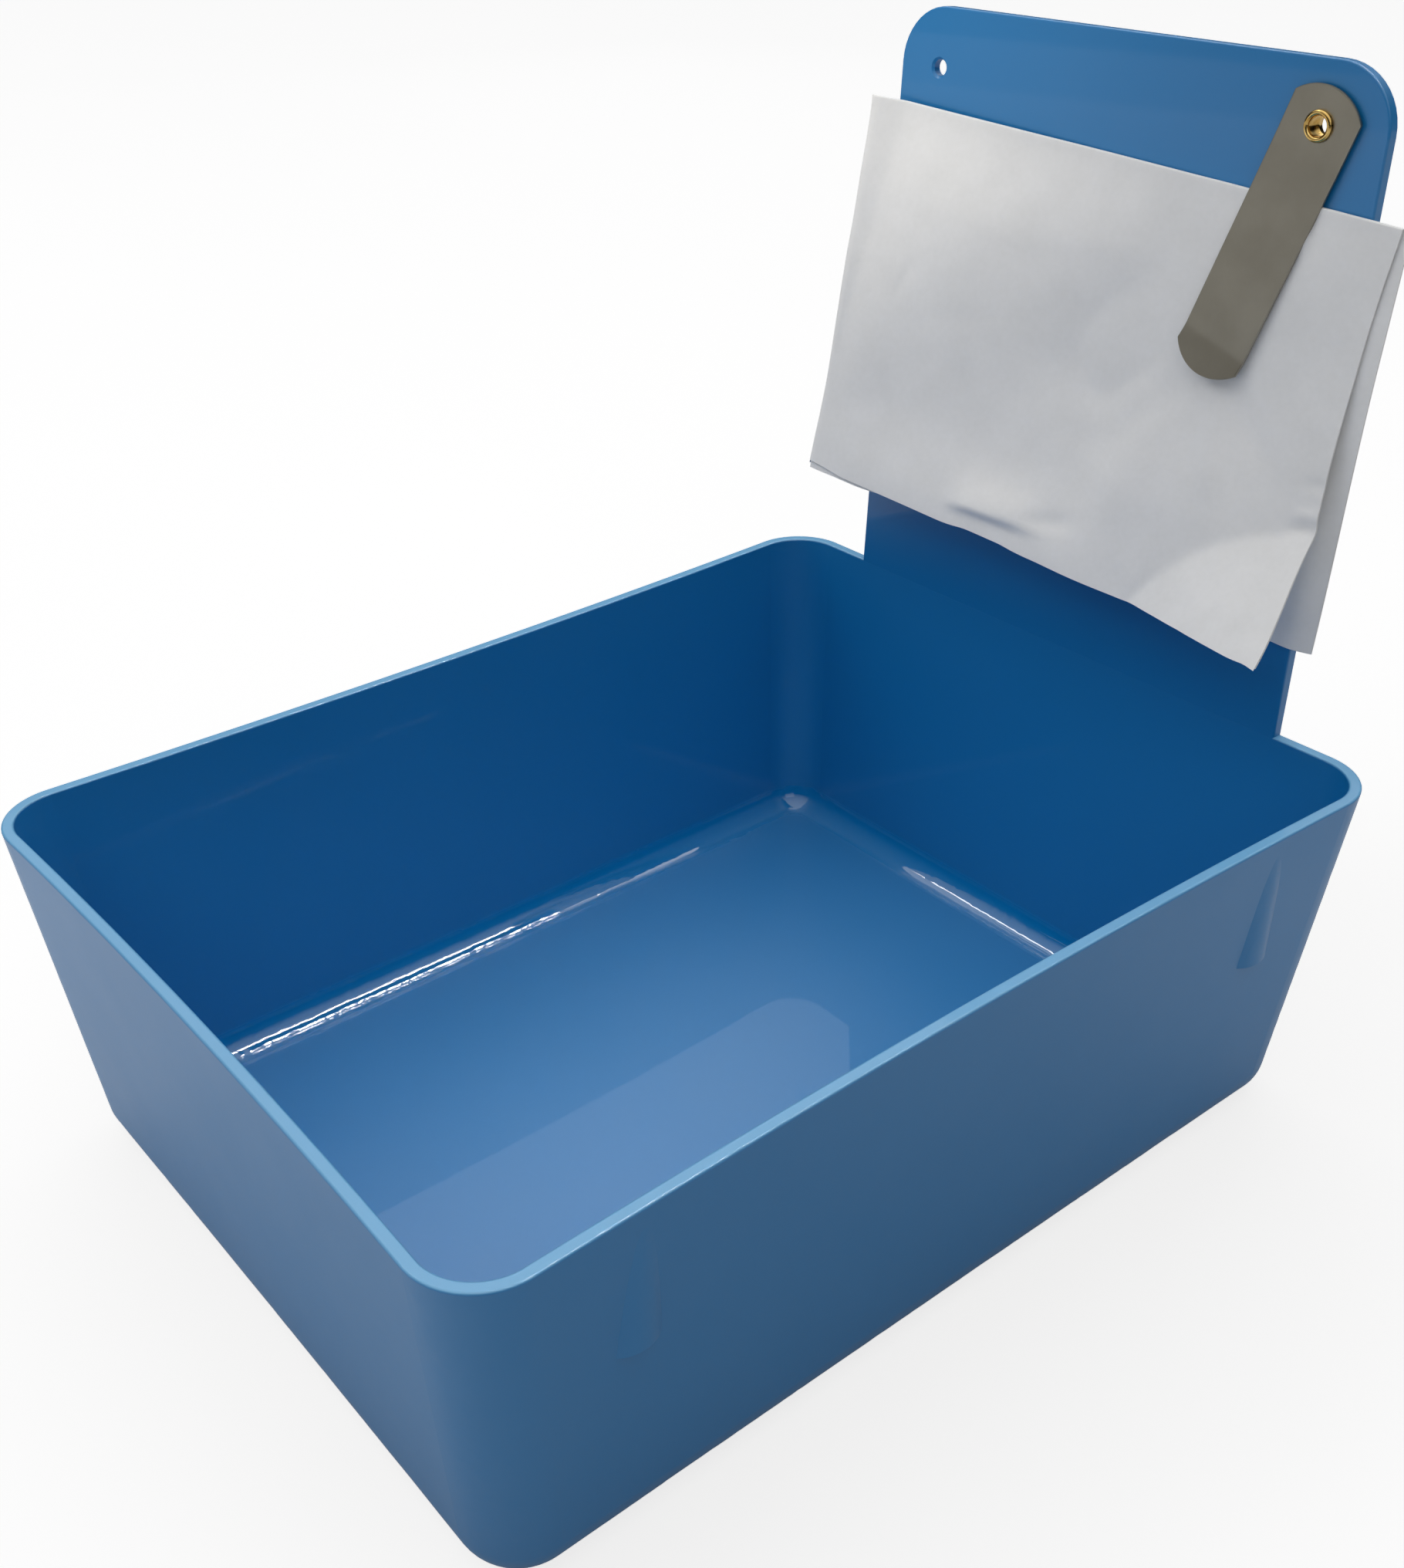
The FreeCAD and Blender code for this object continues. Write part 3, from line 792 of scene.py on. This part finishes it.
def slip_paper():
    """Office paper: matt white with fibre mottling and a fine tooth."""
    made, nodes, links, shader = new_material("slip_paper")
    fibre = noise_node(nodes, links, 900.0, 5.0)
    cloud = noise_node(nodes, links, 110.0, 3.0)
    mottle = nodes.new("ShaderNodeMix")
    mottle.inputs["Factor"].default_value = 0.35
    links.new(cloud, mottle.inputs["A"])
    links.new(fibre, mottle.inputs["B"])
    colour = ramp_node(nodes, links, mottle.outputs["Result"], [
        (0.30, (0.82, 0.82, 0.815)),
        (0.70, (0.88, 0.88, 0.88)),
    ])
    links.new(colour, shader.inputs["Base Color"])
    shader.inputs["Roughness"].default_value = 0.75
    shader.inputs["Specular IOR Level"].default_value = 0.25
    links.new(bump_node(nodes, links, fibre, 0.00002), shader.inputs["Normal"])
    return made


def paint(obj, material):
    obj.data.materials.clear()
    obj.data.materials.append(material)


# ---------------------------------------------------------------- floor and world


def make_disc(name, rise, material):
    """A matt disc of the studio's size under the object."""
    bpy.ops.mesh.primitive_circle_add(
        vertices=96, radius=STUDIO_RADIUS, fill_type="NGON", location=(0, 0, rise)
    )
    disc = bpy.context.object
    disc.name = name
    disc.data.materials.append(material)
    return disc


def matt_material(name):
    """A matt material for the studio, to be given a colour."""
    made, nodes, links, shader = new_material(name)
    shader.inputs["Roughness"].default_value = 0.9
    shader.inputs["Specular IOR Level"].default_value = 0.1
    return made, nodes, links, shader


def make_floor():
    """The pale floor that the camera sees. It gives the object no light and takes its shadow."""
    made, nodes, links, shader = matt_material("floor_pale")
    mottle = noise_node(nodes, links, 3.0, 2.0)
    colour = ramp_node(nodes, links, mottle, grey_stops([(0.3, 0.86), (0.7, 0.88)]))
    links.new(colour, shader.inputs["Base Color"])
    shader.inputs["Emission Color"].default_value = (1.0, 1.0, 1.0, 1.0)
    shader.inputs["Emission Strength"].default_value = FLOOR_GLOW
    floor = make_disc("floor", -0.0002, made)
    floor.visible_diffuse = False
    floor.visible_glossy = False
    floor.visible_shadow = False


def make_table_bounce():
    """A greyer table that only the object sees: it gives the light from below."""
    made, nodes, links, shader = matt_material("table_grey")
    # painted light and shade in grey bands, from behind at the right to the front at the left, where
    # the daylight falls
    place = split_vector(nodes, links, object_coordinates(nodes))
    leftward = math_node(nodes, links, "MULTIPLY", place["X"], -0.6)
    frontward = math_node(nodes, links, "MULTIPLY", place["Y"], -0.8)
    along = math_node(nodes, links, "ADD", leftward, frontward)
    stops = grey_stops([
        (0.075, 0.66),
        (0.125, 0.46),
        (0.155, 0.50),
        (0.200, 0.71),
        (0.300, 0.90),
        (0.460, 0.58),
        (0.650, 0.75),
        (0.850, 0.98),
    ])
    colour = ramp_node(nodes, links, map_range(nodes, links, along, -0.3, 1.7), stops)
    links.new(colour, shader.inputs["Base Color"])
    table = make_disc("table_bounce", -0.0001, made)
    table.visible_camera = False
    table.visible_shadow = False


def make_world():
    """A bright studio ceiling over dark walls; plain white where the camera sees it."""
    world = bpy.data.worlds.new("studio")
    bpy.context.scene.world = world
    world.use_nodes = True
    nodes, links = world.node_tree.nodes, world.node_tree.links
    nodes.clear()
    direction = nodes.new("ShaderNodeTexCoord")
    upward = split_vector(nodes, links, direction.outputs["Generated"])["Z"]
    stops = grey_stops([(0.00, 0.0), (0.42, 0.0), (0.62, 0.55), (1.00, 1.0)])
    light = nodes.new("ShaderNodeBackground")
    links.new(ramp_node(nodes, links, upward, stops), light.inputs["Color"])
    light.inputs["Strength"].default_value = CEILING_STRENGTH
    backdrop = nodes.new("ShaderNodeBackground")
    backdrop.inputs["Color"].default_value = (1.0, 1.0, 1.0, 1)
    path = nodes.new("ShaderNodeLightPath")
    mix = nodes.new("ShaderNodeMixShader")
    links.new(path.outputs["Is Camera Ray"], mix.inputs["Fac"])
    links.new(light.outputs["Background"], mix.inputs[1])
    links.new(backdrop.outputs["Background"], mix.inputs[2])
    output = nodes.new("ShaderNodeOutputWorld")
    links.new(mix.outputs["Shader"], output.inputs["Surface"])


# ---------------------------------------------------------------- lights


def toward(azimuth, elevation, distance, middle=(0.0, 0.0, 0.05)):
    """A place at some angles, in degrees anticlockwise from +X and up, seen from the object."""
    az, el = math.radians(azimuth), math.radians(elevation)
    reach = Vector((math.cos(az) * math.cos(el), math.sin(az) * math.cos(el), math.sin(el)))
    return Vector(middle) + reach * distance


def area_light(name, place, size, watts, target=(0.0, 0.0, 0.05), colour=(1.0, 1.0, 1.0)):
    light = bpy.data.lights.new(name, "AREA")
    light.shape = "RECTANGLE"
    light.size, light.size_y = size
    light.energy = watts
    light.color = colour
    lamp = bpy.data.objects.new(name, light)
    lamp.location = place
    lamp.rotation_euler = (Vector(target) - Vector(place)).to_track_quat("-Z", "Y").to_euler()
    bpy.context.scene.collection.objects.link(lamp)
    return lamp


def make_lights():
    """Soft boxes round the pan, and small lamps for its sharper highlights."""
    area_light("window_behind", toward(142, 49, 1.8), (2.1, 1.15), 6.0)
    fill = area_light("fill_front", toward(236, 6, 1.9), (1.3, 0.5), 1.8)
    fill.visible_glossy = False
    key = area_light("key_left", toward(222, 38, 1.8), (0.7, 0.7), 2.2)
    key.visible_glossy = False
    area_light("card_front", toward(235, 15, 1.9), (0.9, 0.5), 1.1)
    area_light("fill_right", toward(335, 28, 1.9), (1.0, 0.8), 1.8)
    # a little warm light on the slip's upper left corner
    corner = tab_point(-48, 112, 52)
    slip_corner = tab_point(-34, 84, 0)
    glow = area_light("corner_glow", corner, (0.04, 0.04), 0.011, slip_corner, (1.0, 0.95, 0.86))
    glow.visible_glossy = False
    streak = area_light("side_streak", toward(195, 56, 1.6), (0.12, 0.22), 0.9)
    streak.visible_diffuse = False
    make_louvres()


def louvre_light():
    """Light from two rows of open cells across the lamp, and dimly from all of its far end."""
    made = bpy.data.materials.new("louvre_light")
    made.use_nodes = True
    nodes, links = made.node_tree.nodes, made.node_tree.links
    nodes.clear()
    place = split_vector(nodes, links, object_coordinates(nodes))
    cell = math_node(nodes, links, "PINGPONG", place["Y"], LOUVRE_SPACING / 2)
    in_cell = math_node(nodes, links, "LESS_THAN", cell, LOUVRE_OPEN * LOUVRE_SPACING)
    aside = math_node(nodes, links, "SUBTRACT", place["X"], LAMP_MIDDLE[0])
    distance = math_node(nodes, links, "ABSOLUTE", aside, 0.0)
    in_row = math_node(nodes, links, "GREATER_THAN", distance, ROW_INNER_EDGE)
    in_louvres = math_node(nodes, links, "LESS_THAN", place["Y"], LOUVRES_END)
    open_cell = product(nodes, links, in_cell, in_row, in_louvres)
    strength = map_range(nodes, links, open_cell, 0.0, 1.0, LAMP_DIM_END, LAMP_STRENGTH)
    in_dim_end = math_node(nodes, links, "GREATER_THAN", place["Y"], LOUVRES_END)
    lit = math_node(nodes, links, "MAXIMUM", in_dim_end, open_cell)
    emission = nodes.new("ShaderNodeEmission")
    links.new(product(nodes, links, strength, lit), emission.inputs["Strength"])
    output = nodes.new("ShaderNodeOutputMaterial")
    links.new(emission.outputs["Emission"], output.inputs["Surface"])
    return made


def make_louvres():
    """A ceiling lamp behind slats, seen only in the gloss."""
    x, y = LAMP_HALF_WIDTH, LAMP_HALF_LENGTH
    corners = [(-x, -y, 0), (-x, y, 0), (x, y, 0), (x, -y, 0)]
    lamp = mesh_object("louvred_lamp", corners, [(0, 1, 2, 3)], Matrix.Translation(LAMP_MIDDLE))
    lamp.data.materials.append(louvre_light())
    lamp.visible_camera = False
    lamp.visible_diffuse = False
    lamp.visible_shadow = False


# ---------------------------------------------------------------- camera


def make_camera():
    """The camera at the photograph's viewing angle."""
    camera = bpy.data.cameras.new("camera")
    camera.sensor_width = 36.0
    camera.lens = CAMERA_LENS
    camera.shift_x, camera.shift_y = CAMERA_SHIFT
    camera.clip_start = 0.01
    camera.clip_end = 20.0
    obj = bpy.data.objects.new("camera", camera)
    azimuth, elevation = math.radians(CAMERA_AZIMUTH), math.radians(CAMERA_ELEVATION)
    back = Vector((
        math.sin(azimuth) * math.cos(elevation),
        -math.cos(azimuth) * math.cos(elevation),
        math.sin(elevation),
    ))
    right = (-back).cross(Vector((0, 0, 1))).normalized()
    up = right.cross(-back)
    roll = math.radians(CAMERA_ROLL)
    rolled_right = right * math.cos(roll) + up * math.sin(roll)
    rolled_up = up * math.cos(roll) - right * math.sin(roll)
    facing = Matrix((rolled_right, rolled_up, back)).transposed().to_4x4()
    obj.matrix_world = Matrix.Translation(Vector(CAMERA_PLACE) * MM) @ facing
    bpy.context.scene.collection.objects.link(obj)
    bpy.context.scene.camera = obj


# ---------------------------------------------------------------- put together

pan = frame["nodes"]["work_pan"]
paint(pan, pan_plastic())

eyelet = make_eyelet()
paint(eyelet, eyelet_brass())
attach(eyelet, "pan")
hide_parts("eyelet")

clip = make_clip()
paint(clip, clip_steel())
strip_frame = turned_frame(EYELET_X, EYELET_RISE, CLIP_TAB_GAP, CLIP_TURN)
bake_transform(clip)
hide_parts("clip_head", "clip_blade")

slip = make_slip()
paint(slip, slip_paper())
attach(slip, "slip")
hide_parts("order_slip")

make_floor()
make_table_bounce()
make_world()
make_lights()
make_camera()
bpy.context.scene.view_settings.view_transform = "Standard"
